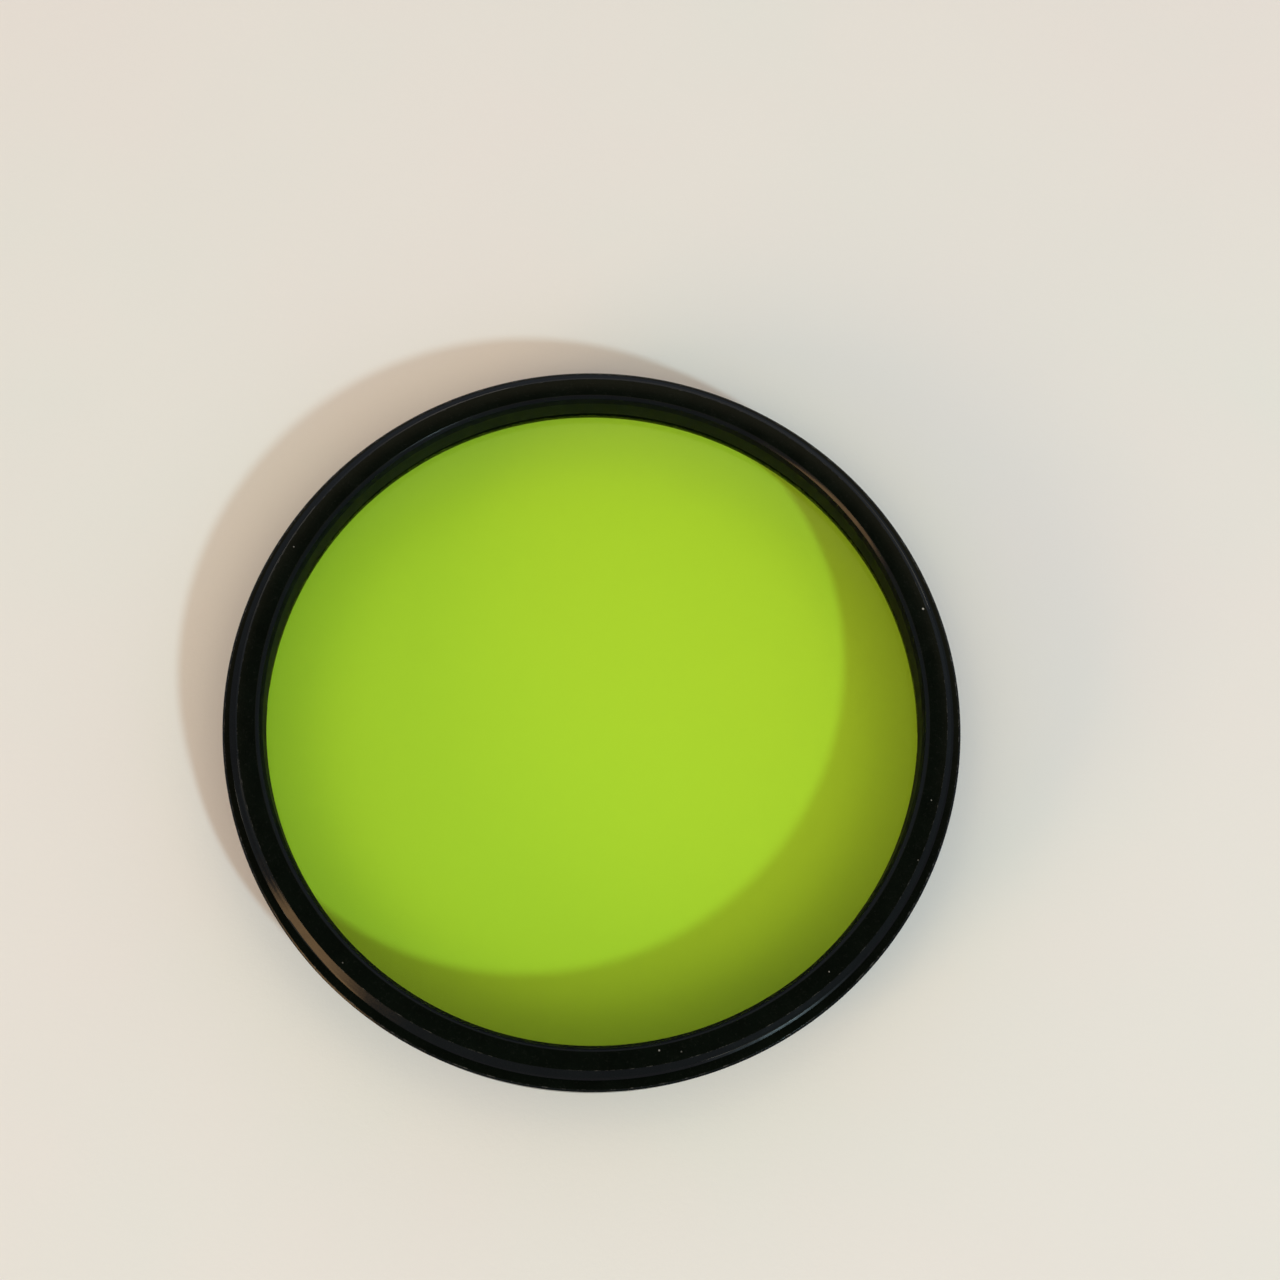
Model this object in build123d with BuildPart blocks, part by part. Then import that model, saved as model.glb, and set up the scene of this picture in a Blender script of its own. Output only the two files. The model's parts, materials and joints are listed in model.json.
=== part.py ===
"""Screw-in colour glass filter, lying on its front rim with the rear thread up.

Millimetres, +Z up. The origin is the centre of the front rim, on the surface that it lies on.
"""
import os

from build123d import *

# Lens thread, the same size at the rear (male) and at the front (female)
thread_diameter = 52.0
thread_pitch = 0.75
minor_depth_factor = 0.5413  # depth of a metric female thread on the radius, in pitches

# Stack of heights, from the front rim to the flat end face of the rear thread
front_thread_depth = 2.2
retainer_recess = 0.05  # the retaining ring lies this far behind the bottom of the front thread
retainer_thickness = 0.7
glass_thickness = 1.5
ledge_thickness = 2.55  # seat of the glass to the end face
rear_thread_length = 1.85  # shoulder, which meets the lens, to the end face

# Outside of the filter ring
rim_wall = 0.75  # how far the rim stands out past the thread, on the radius
rim_draw = 0.15  # the side draws in by this much on the radius, down to the front rim
rim_edge_break = 0.12  # at the front rim
shoulder_break_height = 0.11  # at the shoulder, a little flatter than 45 degrees
shoulder_break_width = 0.15
rear_chamfer_height = 0.4  # lead-in at the start of the rear thread
rear_chamfer_width = 0.6
front_chamfer = 0.3  # lead-in of the front thread

# Edge of the clear opening, a steep cone that ends in a narrow bevel at the end face
opening_cone_height = 0.65
opening_cone_width = 0.3
opening_bevel_length = 0.26  # measured down the cone
opening_bevel_width = 0.13  # measured on the end face

# Steps inside the filter ring, on the radius, from the front thread to the clear opening
retainer_step = 0.5  # the retaining ring has a finer thread, inside the front thread
retainer_play = 0.05
retainer_overrun = 0.2  # its bore runs past the front of the glass, so that the ring can clamp
pocket_step = 0.2
glass_play = 0.1
ledge_width = 1.1  # how far the ledge laps over the glass

# Glass disc and retaining ring
glass_bevel = 0.12
retainer_lap = 0.9  # how far the retaining ring laps over the glass
retainer_bevel = 0.25
notch_count = 2
notch_width = 1.5
notch_floor = 0.3  # what is left of the retaining ring under a spanner notch

# Radii that follow from the sizes above
thread_radius = thread_diameter / 2
rim_radius = thread_radius + rim_wall
rim_foot_radius = rim_radius - rim_draw
minor_radius = thread_radius - minor_depth_factor * thread_pitch
retainer_bore_radius = minor_radius - retainer_step
retainer_radius = retainer_bore_radius - retainer_play
pocket_radius = retainer_bore_radius - pocket_step
glass_radius = pocket_radius - glass_play
opening_radius = glass_radius - ledge_width
retainer_opening_radius = glass_radius - retainer_lap

# Heights that follow from the sizes above
retainer_front = front_thread_depth + retainer_recess
glass_front = retainer_front + retainer_thickness
glass_rear = glass_front + glass_thickness
end_face = glass_rear + ledge_thickness
shoulder = end_face - rear_thread_length


def round_edge(part, radius, height):
    """The circular edge of the part that has this radius and lies at this height."""
    circles = part.edges().filter_by(GeomType.CIRCLE)
    level = circles.filter_by_position(Axis.Z, height - 0.001, height + 0.001)
    return level.filter_by(lambda edge: abs(edge.radius - radius) < 0.001)


def highest_face(part):
    """The face of the part whose middle lies highest, on which a bevel's width is measured."""
    return part.faces().sort_by(Axis.Z)[-1]


# Filter ring: a drawn-in rim, a shoulder and the blank of the rear thread, then bored out
with BuildPart() as filter_ring:
    with BuildSketch(Plane.XY):
        Circle(rim_foot_radius)
    with BuildSketch(Plane.XY.offset(shoulder)):
        Circle(rim_radius)
    loft()
    with BuildSketch(Plane.XY.offset(shoulder)):
        Circle(thread_radius)
    extrude(amount=rear_thread_length)

    # The clear opening goes right through, and what it leaves at the rear is the ledge
    with BuildSketch(Plane.XY):
        Circle(opening_radius)
    extrude(amount=end_face, mode=Mode.SUBTRACT)

    # The pocket ends where the rear of the glass seats on the ledge
    with BuildSketch(Plane.XY):
        Circle(pocket_radius)
    extrude(amount=glass_rear, mode=Mode.SUBTRACT)

    # Two wider bores in front of the pocket: the retaining ring's and that of the front thread
    with BuildSketch(Plane.XY):
        Circle(retainer_bore_radius)
    extrude(amount=glass_front + retainer_overrun, mode=Mode.SUBTRACT)
    with BuildSketch(Plane.XY):
        Circle(minor_radius)
    extrude(amount=front_thread_depth, mode=Mode.SUBTRACT)

    # Lead-ins of both threads
    chamfer(
        round_edge(filter_ring, thread_radius, end_face),
        length=rear_chamfer_height,
        length2=rear_chamfer_width,
    )
    chamfer(round_edge(filter_ring, minor_radius, 0), length=front_chamfer)

    # Edge of the opening: the cone first, then the bevel where the cone meets the end face
    chamfer(
        round_edge(filter_ring, opening_radius, end_face),
        length=opening_cone_width,
        length2=opening_cone_height,
        reference=highest_face(filter_ring),
    )
    chamfer(
        round_edge(filter_ring, opening_radius + opening_cone_width, end_face),
        length=opening_bevel_width,
        length2=opening_bevel_length,
        reference=highest_face(filter_ring),
    )

    # Broken edges of the rim, at its foot and at the shoulder
    chamfer(round_edge(filter_ring, rim_foot_radius, 0), length=rim_edge_break)
    chamfer(
        round_edge(filter_ring, rim_radius, shoulder),
        length=shoulder_break_height,
        length2=shoulder_break_width,
    )
filter_ring.part.label = "filter_ring"

# Glass: a flat disc with both edges bevelled, its rear face against the ledge
with BuildPart() as filter_glass:
    with BuildSketch(Plane.XY.offset(glass_front)):
        Circle(glass_radius)
    extrude(amount=glass_thickness)
    chamfer(filter_glass.edges().filter_by(GeomType.CIRCLE), length=glass_bevel)
filter_glass.part.label = "filter_glass"

# Retaining ring: screwed in from the front until it clamps the glass
with BuildPart() as retaining_ring:
    with BuildSketch(Plane.XY.offset(retainer_front)):
        Circle(retainer_radius)
        Circle(retainer_opening_radius, mode=Mode.SUBTRACT)
    extrude(amount=retainer_thickness)
    chamfer(round_edge(retaining_ring, retainer_opening_radius, retainer_front), length=retainer_bevel)

    # Spanner notches, cut across the whole width of its front face
    ring_width = retainer_radius - retainer_opening_radius
    with BuildSketch(Plane.XY.offset(retainer_front)):
        with PolarLocations(retainer_opening_radius + ring_width / 2, notch_count):
            Rectangle(2 * ring_width, notch_width)
    extrude(amount=retainer_thickness - notch_floor, mode=Mode.SUBTRACT)
retaining_ring.part.label = "retaining_ring"

os.makedirs("parts", exist_ok=True)
export_step(filter_ring.part, "parts/filter_ring.step")
export_step(filter_glass.part, "parts/filter_glass.step")
export_step(retaining_ring.part, "parts/retaining_ring.step")
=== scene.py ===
"""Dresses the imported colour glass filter: real threads, fine finishes, paper and light."""
import json
import math

import bmesh
import bpy
from mathutils import Matrix, Vector


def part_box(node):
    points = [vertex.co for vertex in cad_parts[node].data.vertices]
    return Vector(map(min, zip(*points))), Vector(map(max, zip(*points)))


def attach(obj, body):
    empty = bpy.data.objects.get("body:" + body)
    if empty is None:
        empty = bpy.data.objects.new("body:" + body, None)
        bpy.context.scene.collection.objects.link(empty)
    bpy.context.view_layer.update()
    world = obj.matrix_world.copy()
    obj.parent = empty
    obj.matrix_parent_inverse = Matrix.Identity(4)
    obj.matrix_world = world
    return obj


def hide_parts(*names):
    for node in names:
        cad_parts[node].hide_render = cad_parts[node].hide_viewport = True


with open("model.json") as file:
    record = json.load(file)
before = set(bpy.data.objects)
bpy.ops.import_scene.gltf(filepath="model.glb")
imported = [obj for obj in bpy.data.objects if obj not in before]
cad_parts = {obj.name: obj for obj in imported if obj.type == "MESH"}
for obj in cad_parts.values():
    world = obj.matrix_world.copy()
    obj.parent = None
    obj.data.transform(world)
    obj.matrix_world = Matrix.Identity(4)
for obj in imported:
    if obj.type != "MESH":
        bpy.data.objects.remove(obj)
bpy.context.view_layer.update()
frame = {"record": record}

# Lengths below are written in millimetres and turned into metres by this factor
MM = 0.001

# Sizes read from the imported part
mounts = {mount["name"]: mount for mount in frame["record"]["mounts"]}
ring_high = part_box("filter_ring")[1]
glass_low, glass_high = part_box("filter_glass")
retainer_low, retainer_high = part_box("retaining_ring")
rim_radius = ring_high[0] / MM
end_face = ring_high[2] / MM
glass_radius = glass_high[0] / MM
glass_front = glass_low[2] / MM
glass_rear = glass_high[2] / MM
retainer_radius = retainer_high[0] / MM
retainer_front = retainer_low[2] / MM
retainer_rear = retainer_high[2] / MM
thread_radius = mounts["rear_thread"]["dims"]["r_mm"]
minor_radius = mounts["front_thread"]["dims"]["r_mm"]
shoulder = mounts["lens_shoulder"]["pos_m"][2] / MM

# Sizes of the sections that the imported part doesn't list by name
thread_pitch = 0.75
rim_draw = 0.147
rim_edge_break = 0.12
shoulder_break_height = 0.11
shoulder_break_width = 0.147
rear_chamfer_height = 0.4
rear_chamfer_width = 0.6
front_chamfer = 0.3
front_thread_depth = 2.2
opening_cone_height = 0.65
opening_cone_width = 0.3
opening_bevel_length = 0.26
opening_bevel_width = 0.13
ledge_width = 1.1
glass_play = 0.1
glass_bevel = 0.12
retainer_play = 0.05
retainer_overrun = 0.2
retainer_lap = 0.9
retainer_bevel = 0.25
notch_width = 1.5
notch_depth = 0.4
notch_reach = 3  # length of the cut along the radius, more than the retaining ring's width
matt_wall_reach = 0.17  # the matt finish of the opening's wall ends this far out from the opening
floor_half_width = 900

# Where the rear thread's groove starts, as a share of a turn, and how its foot is relieved
thread_start = 0.2055
relief_height = 0.25
relief_depth = 0.46

# Depths of the metric thread profile, in pitches
MALE_DEPTH = 0.6134
FEMALE_DEPTH = 0.5413

# Half the width of the profile's flats at the crest and at the root, in pitches
MALE_FLATS = (1 / 16, 1 / 8)
FEMALE_FLATS = (1 / 8, 1 / 16)

# Radii that follow
opening_radius = glass_radius - ledge_width
pocket_radius = glass_radius + glass_play
retainer_bore_radius = retainer_radius + retainer_play
retainer_opening_radius = glass_radius - retainer_lap

# How finely the turned pieces are divided
AROUND = 480
ARC_STEPS = 3

# Edges that turn by more than this stay sharp, and vertices closer than this in metres are one
SHARP_ANGLE = math.radians(35)
WELD_DISTANCE = 2e-7


# Meshes

def smooth(mesh):
    """Shades a mesh smooth, with its sharp edges kept."""
    mesh.shade_smooth()
    mesh.set_sharp_from_angle(angle=SHARP_ANGLE)


def add_piece(name, vertices, faces, material):
    """A mesh object from points in millimetres."""
    mesh = bpy.data.meshes.new(name)
    mesh.from_pydata([(x * MM, y * MM, z * MM) for x, y, z in vertices], [], faces)
    piece = bpy.data.objects.new(name, mesh)
    bpy.context.scene.collection.objects.link(piece)
    mesh.materials.append(material)
    smooth(mesh)
    return piece


def weld(piece):
    """Joins vertices that lie on the same spot, which also drops the faces between them."""
    shell = bmesh.new()
    shell.from_mesh(piece.data)
    bmesh.ops.remove_doubles(shell, verts=shell.verts, dist=WELD_DISTANCE)
    bmesh.ops.dissolve_degenerate(shell, edges=shell.edges, dist=WELD_DISTANCE)
    bmesh.ops.recalc_face_normals(shell, faces=shell.faces)
    shell.to_mesh(piece.data)
    shell.free()


def rounded(corners):
    """The outline through (radius, height, rounding) corners, each rounded by an arc."""
    outline = []
    count = len(corners)
    for index, (r, z, rounding) in enumerate(corners):
        here = Vector((r, z))
        if rounding == 0:
            outline.append((r, z))
            continue
        before = (Vector(corners[index - 1][:2]) - here).normalized()
        after = (Vector(corners[(index + 1) % count][:2]) - here).normalized()
        half_angle = before.angle(after) / 2
        reach = rounding / math.tan(half_angle)
        centre = here + (before + after).normalized() * (rounding / math.sin(half_angle))
        start = here + before * reach - centre
        end = here + after * reach - centre
        for step in range(ARC_STEPS + 1):
            spoke = start.lerp(end, step / ARC_STEPS).normalized() * rounding
            outline.append(tuple(centre + spoke))
    return outline


def thread_marks(crest_half, root_half):
    """Shares of a pitch at the corners of the profile and along its flanks."""
    flank = 0.5 - crest_half - root_half
    marks = [0, 0.5]
    for share in (0, 1 / 3, 2 / 3, 1):
        marks.append(crest_half + flank * share)
        marks.append(1 - crest_half - flank * share)
    return sorted(marks)


def thread_cut(turn, crest_half, root_half, depth):
    """How deep the thread is cut at this share of its pitch, from its crest at turn 0."""
    away = abs((turn + 0.5) % 1 - 0.5)
    share = (away - crest_half) / (0.5 - crest_half - root_half)
    return depth * thread_pitch * min(1, max(0, share))


def thread_heights(low, high, turn, marks):
    """Heights of the profile's corners at this turn, kept between the two ends of the thread."""
    first = math.floor(low / thread_pitch) - 2
    last = math.ceil(high / thread_pitch) + 1
    heights = []
    for pitch_index in range(first, last + 1):
        for mark in marks:
            height = thread_pitch * (pitch_index + mark + turn)
            heights.append(min(high, max(low, height)))
    return heights


def rear_thread(angle):
    """The rear thread from the shoulder to the end face, with its lead-in and relief."""
    turn = angle / math.tau + thread_start
    lead = end_face - rear_chamfer_height
    points = []
    for z in thread_heights(shoulder, end_face, turn, thread_marks(*MALE_FLATS)):
        cut = thread_cut(z / thread_pitch - turn, *MALE_FLATS, MALE_DEPTH)
        blank = thread_radius - rear_chamfer_width * max(0, z - lead) / rear_chamfer_height
        relief = relief_depth * max(0, 1 - (z - shoulder) / relief_height)
        points.append((min(blank, thread_radius - cut, thread_radius - relief), z))
    return points


def front_thread(angle):
    """The front thread from its bottom to its lead-in at the front rim."""
    turn = angle / math.tau
    points = []
    for z in thread_heights(0, front_thread_depth, turn, thread_marks(*FEMALE_FLATS)):
        cut = thread_cut(z / thread_pitch - turn, *FEMALE_FLATS, FEMALE_DEPTH)
        blank = minor_radius + max(0, front_chamfer - z)
        points.append((max(blank, minor_radius + cut), z))
    points.reverse()
    return points


def ring_section(angle):
    """The ring's closed section at this angle, from the front rim over the shoulder and back."""
    foot = rim_radius - rim_draw
    cone = Vector((-opening_cone_width, -opening_cone_height)).normalized()
    bevel_foot = Vector((opening_radius + opening_cone_width, end_face)) + cone * opening_bevel_length
    outside = rounded([
        (minor_radius + front_chamfer, 0, 0.03),
        (foot - rim_edge_break, 0, 0.04),
        (foot, rim_edge_break, 0.04),
        (rim_radius, shoulder - shoulder_break_height, 0.04),
        (rim_radius - shoulder_break_width, shoulder, 0.03),
        (thread_radius, shoulder, 0),
        (thread_radius, end_face, 0),
    ])
    inside = rounded([
        (thread_radius, end_face - rear_chamfer_height, 0),
        (thread_radius - rear_chamfer_width, end_face, 0.04),
        (opening_radius + opening_cone_width + opening_bevel_width, end_face, 0.06),
        (bevel_foot.x, bevel_foot.y, 0.05),
        (opening_radius, end_face - opening_cone_height, 0.12),
        (opening_radius, glass_rear, 0),
        (pocket_radius, glass_rear, 0),
        (pocket_radius, glass_front + retainer_overrun, 0),
        (retainer_bore_radius, glass_front + retainer_overrun, 0),
        (retainer_bore_radius, front_thread_depth, 0),
        (minor_radius, front_thread_depth, 0),
    ])

    # The corners outside and inside that the rear thread takes the place of only guide the rounding
    return outside[:-2] + rear_thread(angle)[:-1] + inside[1:] + front_thread(angle)


def retainer_section(angle):
    """The retaining ring's closed section, the same at every angle and without its notches."""
    return rounded([
        (retainer_opening_radius + retainer_bevel, retainer_front, 0.02),
        (retainer_radius, retainer_front, 0.04),
        (retainer_radius, retainer_rear, 0.04),
        (retainer_opening_radius, retainer_rear, 0.03),
        (retainer_opening_radius, retainer_front + retainer_bevel, 0.02),
    ])


def glass_section(angle):
    """Half of the glass disc's section, from the axis over both bevels and back to the axis."""
    half = rounded([
        (glass_radius - glass_bevel, glass_front, 0.01),
        (glass_radius, glass_front + glass_bevel, 0.02),
        (glass_radius, glass_rear - glass_bevel, 0.02),
        (glass_radius - glass_bevel, glass_rear, 0.01),
    ])
    shares = (0, 0.25, 0.5, 0.75, 0.95)
    inner_front = [(share * glass_radius, glass_front) for share in shares]
    inner_rear = [(share * glass_radius, glass_rear) for share in reversed(shares)]
    return inner_front + half + inner_rear


def lathe(name, section_at, material, closed=True):
    """A turned piece whose section may change along the turn, as a helix does."""
    vertices = []
    faces = []
    count = len(section_at(0))
    for column in range(AROUND + 1):
        angle = math.tau * column / AROUND
        for r, z in section_at(angle):
            vertices.append((r * math.cos(angle), r * math.sin(angle), z))
    for column in range(AROUND):
        for row in range(count if closed else count - 1):
            a = column * count + row
            b = column * count + (row + 1) % count
            faces.append((a, b, b + count, a + count))
    piece = add_piece(name, vertices, faces, material)
    weld(piece)
    smooth(piece.data)
    return piece


def finish_wall(piece, material):
    """Gives the steep wall of the clear opening a finish of its own."""
    piece.data.materials.append(material)
    for face in piece.data.polygons:
        centre = face.center / MM
        on_wall = Vector((centre.x, centre.y)).length < opening_radius + matt_wall_reach
        if on_wall and centre.z > glass_rear:
            face.material_index = 1


def cut_notches(piece):
    """Cuts the two spanner notches across the retaining ring's front face."""
    middle = (retainer_radius + retainer_opening_radius) / 2
    cutter_mesh = bpy.data.meshes.new("notch_cutter")
    shell = bmesh.new()
    for side in (-1, 1):
        place = Matrix.Translation(Vector((side * middle, 0, retainer_front)) * MM)
        size = Matrix.Diagonal((notch_reach * MM, notch_width * MM, 2 * notch_depth * MM, 1))
        bmesh.ops.create_cube(shell, size=1, matrix=place @ size)
    shell.to_mesh(cutter_mesh)
    shell.free()
    cutter = bpy.data.objects.new("notch_cutter", cutter_mesh)
    bpy.context.scene.collection.objects.link(cutter)
    cut = piece.modifiers.new("notches", "BOOLEAN")
    cut.object = cutter
    cut.operation = "DIFFERENCE"
    cut.solver = "EXACT"
    seen = piece.evaluated_get(bpy.context.evaluated_depsgraph_get())
    finished = bpy.data.meshes.new_from_object(seen)
    piece.modifiers.clear()
    piece.data = finished
    bpy.data.objects.remove(cutter)
    finished.set_sharp_from_angle(angle=SHARP_ANGLE)


# Node helpers

def new_material(name):
    """An empty node material with its output."""
    material = bpy.data.materials.new(name)
    material.use_nodes = True
    tree = material.node_tree
    tree.nodes.clear()
    output = tree.nodes.new("ShaderNodeOutputMaterial")
    return material, tree, output


def plug(tree, socket, value):
    """Links a socket to another one, or gives it a value."""
    if isinstance(value, bpy.types.NodeSocket):
        tree.links.new(value, socket)
    else:
        socket.default_value = value


def node(tree, kind, **inputs):
    """A node with some inputs set by name; a socket given as a value is linked."""
    made = tree.nodes.new(kind)
    for name, value in inputs.items():
        plug(tree, made.inputs[name.replace("_", " ")], value)
    return made


def maths(tree, operation, *values):
    """The result of a Math node with this operation."""
    made = tree.nodes.new("ShaderNodeMath")
    made.operation = operation
    for socket, value in zip(made.inputs, values):
        plug(tree, socket, value)
    return made.outputs["Value"]


def noise(tree, place, scale, detail=2.0, roughness=0.5, distortion=0.0):
    """Grey noise with this many spots to the metre."""
    made = node(
        tree, "ShaderNodeTexNoise", Vector=place, Scale=scale, Detail=detail,
        Roughness=roughness, Distortion=distortion,
    )
    return made.outputs["Fac"]


def between(tree, value, low, high, to_low=0.0, to_high=1.0):
    """The value's place between two marks, turned into another range and kept inside it."""
    made = node(
        tree, "ShaderNodeMapRange", Value=value, From_Min=low, From_Max=high,
        To_Min=to_low, To_Max=to_high,
    )
    return made.outputs["Result"]


def blend(tree, share, first, second):
    """A colour between two colours."""
    made = tree.nodes.new("ShaderNodeMix")
    made.data_type = "RGBA"
    plug(tree, made.inputs["Factor"], share)
    colours = [socket for socket in made.inputs if socket.type == "RGBA"]
    plug(tree, colours[0], first)
    plug(tree, colours[1], second)
    return [socket for socket in made.outputs if socket.type == "RGBA"][0]


def turned_place(tree):
    """Position, distance from the axis and height, for marks that run round a turned piece."""
    place = tree.nodes.new("ShaderNodeNewGeometry").outputs["Position"]
    split = node(tree, "ShaderNodeSeparateXYZ", Vector=place)
    flat = node(tree, "ShaderNodeCombineXYZ", X=split.outputs["X"], Y=split.outputs["Y"])
    length = tree.nodes.new("ShaderNodeVectorMath")
    length.operation = "LENGTH"
    tree.links.new(flat.outputs["Vector"], length.inputs[0])
    return place, length.outputs["Value"], split.outputs["Z"]


def near_circle(tree, radius, height, r, z, reach):
    """1 on the circular edge with this radius and height, falling to 0 at this reach from it."""
    across = maths(tree, "SUBTRACT", radius, r * MM)
    along = maths(tree, "SUBTRACT", height, z * MM)
    across_squared = maths(tree, "MULTIPLY", across, across)
    along_squared = maths(tree, "MULTIPLY", along, along)
    apart = maths(tree, "SQRT", maths(tree, "ADD", across_squared, along_squared))
    return between(tree, apart, 0.0, reach * MM, 1.0, 0.0)


# Materials

def black_metal(name, worn_and_glinting_edges, flecks, gloss=0.13, rougher=0.0):
    """Satin black anodised aluminium with turning marks, rubbed edges that also carry painted glints,
    and specks of dust.
    """
    material, tree, output = new_material(name)
    place, radius, height = turned_place(tree)

    # Turning marks run round the axis, so they change with radius and height and hardly along the turn
    drift = maths(tree, "MULTIPLY", noise(tree, place, 160.0), 0.00004)
    marks_at = node(
        tree,
        "ShaderNodeCombineXYZ",
        X=maths(tree, "ADD", radius, drift),
        Y=maths(tree, "ADD", height, drift),
    ).outputs["Vector"]
    coarse_marks = noise(tree, marks_at, 7000.0, 2.0)
    fine_marks = noise(tree, marks_at, 30000.0, 3.0)
    grain = noise(tree, place, 26000.0, 2.0)
    relief = maths(tree, "MULTIPLY", coarse_marks, 0.9)
    relief = maths(tree, "ADD", relief, maths(tree, "MULTIPLY", fine_marks, 0.5))
    relief = maths(tree, "ADD", relief, maths(tree, "MULTIPLY", grain, 0.35))

    # Black dye with a faint unevenness, a little greener and lighter in patches
    patches = between(tree, noise(tree, place, 420.0, 4.0, 0.6), 0.35, 0.7)
    colour = blend(tree, patches, (0.0008, 0.0019, 0.0013, 1), (0.0017, 0.0034, 0.0024, 1))

    # A film of fine dust on what faces up
    normal = tree.nodes.new("ShaderNodeNewGeometry").outputs["Normal"]
    facing = node(tree, "ShaderNodeSeparateXYZ", Vector=normal)
    up = between(tree, facing.outputs["Z"], 0.3, 1.0)
    film = between(tree, noise(tree, place, 5200.0, 4.0, 0.7), 0.56, 0.8)
    film = maths(tree, "MULTIPLY", maths(tree, "MULTIPLY", film, up), 0.014)
    colour = blend(tree, film, colour, (0.42, 0.41, 0.38, 1))

    # Edges rubbed down to the metal in small spots; the same lighter colour also stands in for painted
    # glints along these edges
    rubbed_and_glint = 0.0
    for r, z, reach, amount in worn_and_glinting_edges:
        edge = maths(tree, "MULTIPLY", near_circle(tree, radius, height, r, z, reach), amount)
        rubbed_and_glint = maths(tree, "MAXIMUM", rubbed_and_glint, edge)
    spots = between(tree, noise(tree, place, 1900.0, 5.0, 0.7), 0.52, 0.7)
    rubbed_and_glint = maths(tree, "MULTIPLY", rubbed_and_glint, spots)
    colour = blend(tree, rubbed_and_glint, colour, (0.3, 0.29, 0.27, 1))

    # Single specks of dust on the end face
    ragged = maths(tree, "MULTIPLY", noise(tree, place, 11000.0, 3.0, 0.7), 0.6)
    for azimuth, r, size, brightness in flecks:
        here = Vector((math.cos(math.radians(azimuth)), math.sin(math.radians(azimuth)), 0)) * r
        apart = tree.nodes.new("ShaderNodeVectorMath")
        apart.operation = "DISTANCE"
        tree.links.new(place, apart.inputs[0])
        apart.inputs[1].default_value = (here.x * MM, here.y * MM, end_face * MM)
        edge = maths(tree, "ADD", maths(tree, "DIVIDE", apart.outputs["Value"], size * MM), ragged)
        fleck = between(tree, edge, 0.55, 1.0, 1.0, 0.0)
        colour = blend(tree, fleck, colour, (brightness, brightness * 0.98, brightness * 0.92, 1))

    smudges = noise(tree, place, 650.0, 3.0, 0.6)
    roughness = between(tree, smudges, 0.3, 0.75, 0.12, 0.2)
    roughness = maths(tree, "ADD", roughness, maths(tree, "MULTIPLY", coarse_marks, 0.05))
    roughness = maths(tree, "ADD", roughness, rougher)
    bump = node(tree, "ShaderNodeBump", Height=relief, Strength=0.25, Distance=0.000004)
    shader = node(
        tree, "ShaderNodeBsdfPrincipled", Base_Color=colour, Roughness=roughness,
        Normal=bump.outputs["Normal"],
    )
    shader.inputs["Specular IOR Level"].default_value = gloss
    tree.links.new(shader.outputs["BSDF"], output.inputs["Surface"])
    return material


def coloured_glass(name, colour):
    """Glass coloured in the mass, ground at its edge. Light on the paper through it takes its colour."""
    material, tree, output = new_material(name)
    place, radius, _ = turned_place(tree)
    ground_from = (glass_radius - glass_bevel) * MM
    ground_full = (glass_radius - 0.6 * glass_bevel) * MM
    ground_edge = between(tree, radius, ground_from, ground_full)
    haze = between(tree, noise(tree, place, 300.0, 5.0, 0.65), 0.5, 0.8, 0.0, 0.012)
    roughness = maths(tree, "MAXIMUM", maths(tree, "MULTIPLY", ground_edge, 0.45), haze)
    waves = noise(tree, place, 90.0, 2.0)
    polish = node(tree, "ShaderNodeBump", Height=waves, Strength=0.2, Distance=0.00001)
    shader = node(
        tree, "ShaderNodeBsdfPrincipled", Base_Color=colour, Roughness=roughness, IOR=1.52,
        Normal=polish.outputs["Normal"],
    )
    shader.inputs["Transmission Weight"].default_value = 1.0

    # Light that reaches the paper and comes back from it goes straight through, tinted at each face
    face_tint = [math.sqrt(channel) for channel in colour[:3]] + [1.0]
    through = node(tree, "ShaderNodeBsdfTransparent", Color=face_tint)
    path = tree.nodes.new("ShaderNodeLightPath")
    bounced = tree.nodes.new("ShaderNodeMixShader")
    tree.links.new(path.outputs["Is Diffuse Ray"], bounced.inputs["Fac"])
    tree.links.new(shader.outputs["BSDF"], bounced.inputs[1])
    tree.links.new(through.outputs["BSDF"], bounced.inputs[2])
    lit = tree.nodes.new("ShaderNodeMixShader")
    tree.links.new(path.outputs["Is Shadow Ray"], lit.inputs["Fac"])
    tree.links.new(bounced.outputs["Shader"], lit.inputs[1])
    tree.links.new(through.outputs["BSDF"], lit.inputs[2])
    tree.links.new(lit.outputs["Shader"], output.inputs["Surface"])
    return material


def paper(name):
    """Matte off-white paper, unevenly toned, with a faint grain."""
    material, tree, output = new_material(name)
    place = tree.nodes.new("ShaderNodeNewGeometry").outputs["Position"]
    warmth = between(tree, noise(tree, place, 22.0, 3.0, 0.55), 0.35, 0.65)
    shade = between(tree, noise(tree, place, 55.0, 4.0, 0.55, 0.4), 0.3, 0.7)
    grain = noise(tree, place, 2600.0, 4.0, 0.6)
    tone = blend(tree, warmth, (0.815, 0.79, 0.785, 1), (0.785, 0.805, 0.79, 1))
    tone = blend(tree, maths(tree, "MULTIPLY", shade, 0.4), tone, (0.83, 0.81, 0.80, 1))
    bump = node(tree, "ShaderNodeBump", Height=grain, Strength=0.2, Distance=0.00006)
    shader = node(
        tree, "ShaderNodeBsdfPrincipled", Base_Color=tone, Roughness=0.85, Normal=bump.outputs["Normal"],
    )
    shader.inputs["Specular IOR Level"].default_value = 0.2
    tree.links.new(shader.outputs["BSDF"], output.inputs["Surface"])
    return material


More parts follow.
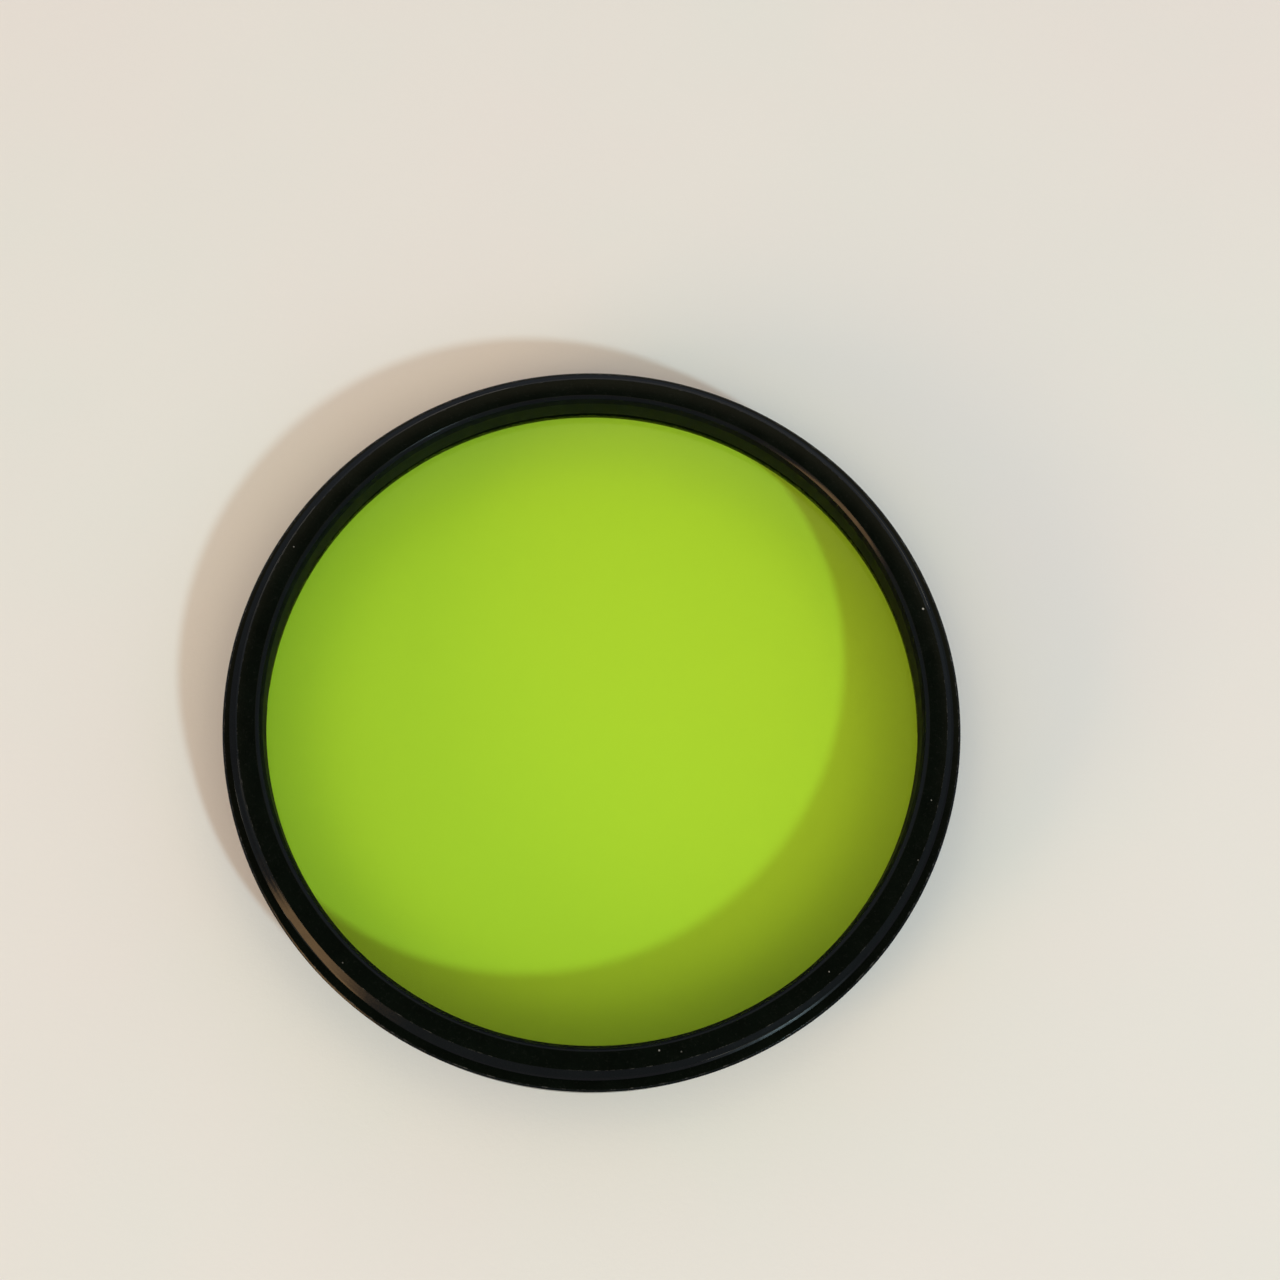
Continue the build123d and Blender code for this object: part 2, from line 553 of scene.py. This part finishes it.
# Edges of the ring that are rubbed and painted with glints: radius, height, reach and strength
ring_wear_and_glints = [
    (rim_radius, shoulder - shoulder_break_height, 0.07, 0.5),
    (rim_radius - shoulder_break_width, shoulder, 0.05, 0.35),
    (rim_radius - rim_draw, rim_edge_break, 0.08, 0.5),
    (thread_radius - rear_chamfer_width, end_face, 0.04, 0.25),
]

# Specks of dust on the end face: azimuth in degrees, radius, size and brightness
ring_dust = [
    (21.3, 25.16, 0.14, 0.42),
    (155.3, 24.98, 0.09, 0.22),
    (230.2, 25.03, 0.09, 0.12),
    (284.3, 24.46, 0.11, 0.25),
    (287.7, 24.86, 0.1, 0.1),
    (314.8, 24.81, 0.09, 0.22),
    (338.2, 25.3, 0.08, 0.12),
    (348.3, 24.86, 0.09, 0.2),
]

retainer_wear = [(retainer_opening_radius, retainer_rear, 0.06, 0.4)]

# The ring's edge list paints light glints on its edges as well as wear
ring_black = black_metal("black_anodised_ring", ring_wear_and_glints, ring_dust)
wall_black = black_metal("matt_black_opening", [], [], gloss=0.06, rougher=0.4)
retainer_black = black_metal("black_anodised_retainer", retainer_wear, [])
yellow_green = coloured_glass("yellow_green_glass", (0.765, 1.0, 0.215, 1))
pale_paper = paper("pale_paper")

# Pieces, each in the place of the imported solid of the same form

ring = lathe("ring_with_threads", ring_section, ring_black)
finish_wall(ring, wall_black)
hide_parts("filter_ring")
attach(ring, "root")

disc = lathe("glass_disc", glass_section, yellow_green, closed=False)
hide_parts("filter_glass")
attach(disc, "root")

retainer = lathe("notched_retaining_ring", retainer_section, retainer_black)
cut_notches(retainer)
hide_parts("retaining_ring")
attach(retainer, "root")

# Floor
floor = add_piece(
    "paper_sheet",
    [(x * floor_half_width, y * floor_half_width, 0) for x, y in ((-1, -1), (1, -1), (1, 1), (-1, 1))],
    [(0, 1, 2, 3)],
    pale_paper,
)

# Camera, at the photograph's place above the near side of the ring
camera_place = Vector((0, -32.48, 139.68)) * MM
camera_aim = Vector((3.07, 7.24, 0)) * MM
camera_roll = math.radians(8.31)
camera_data = bpy.data.cameras.new("camera")
camera_data.sensor_width = 36
camera_data.lens = 53.62
camera_data.clip_start = 0.01
camera = bpy.data.objects.new("camera", camera_data)
bpy.context.scene.collection.objects.link(camera)
look = (camera_aim - camera_place).to_track_quat("-Z", "Y").to_matrix().to_4x4()
camera.matrix_world = Matrix.Translation(camera_place) @ look @ Matrix.Rotation(camera_roll, 4, "Z")
bpy.context.scene.camera = camera


# Light

def area_light(name, azimuth, elevation, distance, size, power, colour, shape="DISK", roll=0):
    """An area light that faces the part from this direction, in degrees and metres."""
    data = bpy.data.lights.new(name, "AREA")
    data.shape = shape
    data.size = size[0]
    data.size_y = size[-1]
    data.energy = power
    data.color = colour
    light = bpy.data.objects.new(name, data)
    bpy.context.scene.collection.objects.link(light)
    az, el = math.radians(azimuth), math.radians(elevation)
    away = Vector((math.cos(az) * math.cos(el), math.sin(az) * math.cos(el), math.sin(el)))
    facing = (-away).to_track_quat("-Z", "Y").to_matrix().to_4x4()
    turned = Matrix.Rotation(math.radians(roll), 4, "Z")
    light.matrix_world = Matrix.Translation(away * distance) @ facing @ turned


area_light(
    "small_cool_light", azimuth=314.5, elevation=41.1, distance=1.0, size=(0.07,), power=3.7,
    colour=(0.67, 0.96, 1.05),
)
area_light(
    "low_warm_softbox", azimuth=217, elevation=18, distance=1.2, size=(0.56, 0.30), power=5.5,
    colour=(1.0, 0.59, 0.25), shape="RECTANGLE", roll=-30,
)

# Room light: dim near the horizon, bright half way up, dark overhead where the camera stands
world = bpy.data.worlds.new("soft_room")
world.use_nodes = True
sky = world.node_tree
direction = sky.nodes.new("ShaderNodeTexCoord").outputs["Generated"]
split = node(sky, "ShaderNodeSeparateXYZ", Vector=direction)
rise = split.outputs["Z"]
low_light = (0.36, 0.39, 0.47, 1)
middle_light = (0.34, 0.30, 0.39, 1)
high_light = (0.82, 0.70, 0.45, 1)
overhead_light = (0.07, 0.07, 0.04, 1)
room_strength = 1.5

# Colours at these sines of the elevation
room_light = (
    (0.0, low_light),
    (0.38, low_light),
    (0.45, middle_light),
    (0.68, middle_light),
    (0.74, high_light),
    (0.90, high_light),
    (0.94, overhead_light),
)
levels = sky.nodes.new("ShaderNodeValToRGB")
sky.links.new(rise, levels.inputs["Fac"])
stops = levels.color_ramp.elements
stops[0].position, stops[0].color = room_light[0]
stops[1].position, stops[1].color = room_light[-1]
for position, colour in room_light[1:-1]:
    stops.new(position).color = colour

# Its upper part is brighter on the camera's side, its lower part on the far side
towards = math.radians(280)
along = maths(sky, "MULTIPLY", split.outputs["X"], math.cos(towards))
across = maths(sky, "MULTIPLY", split.outputs["Y"], math.sin(towards))
camera_side = maths(sky, "ADD", along, across)
swing = maths(sky, "MULTIPLY", camera_side, between(sky, rise, 0.25, 0.65, -0.35, 0.6))
strength = maths(sky, "MULTIPLY", maths(sky, "ADD", swing, 1.0), room_strength)
background = sky.nodes["Background"]
sky.links.new(levels.outputs["Color"], background.inputs["Color"])
sky.links.new(strength, background.inputs["Strength"])
bpy.context.scene.world = world
bpy.context.scene.view_settings.view_transform = "Standard"
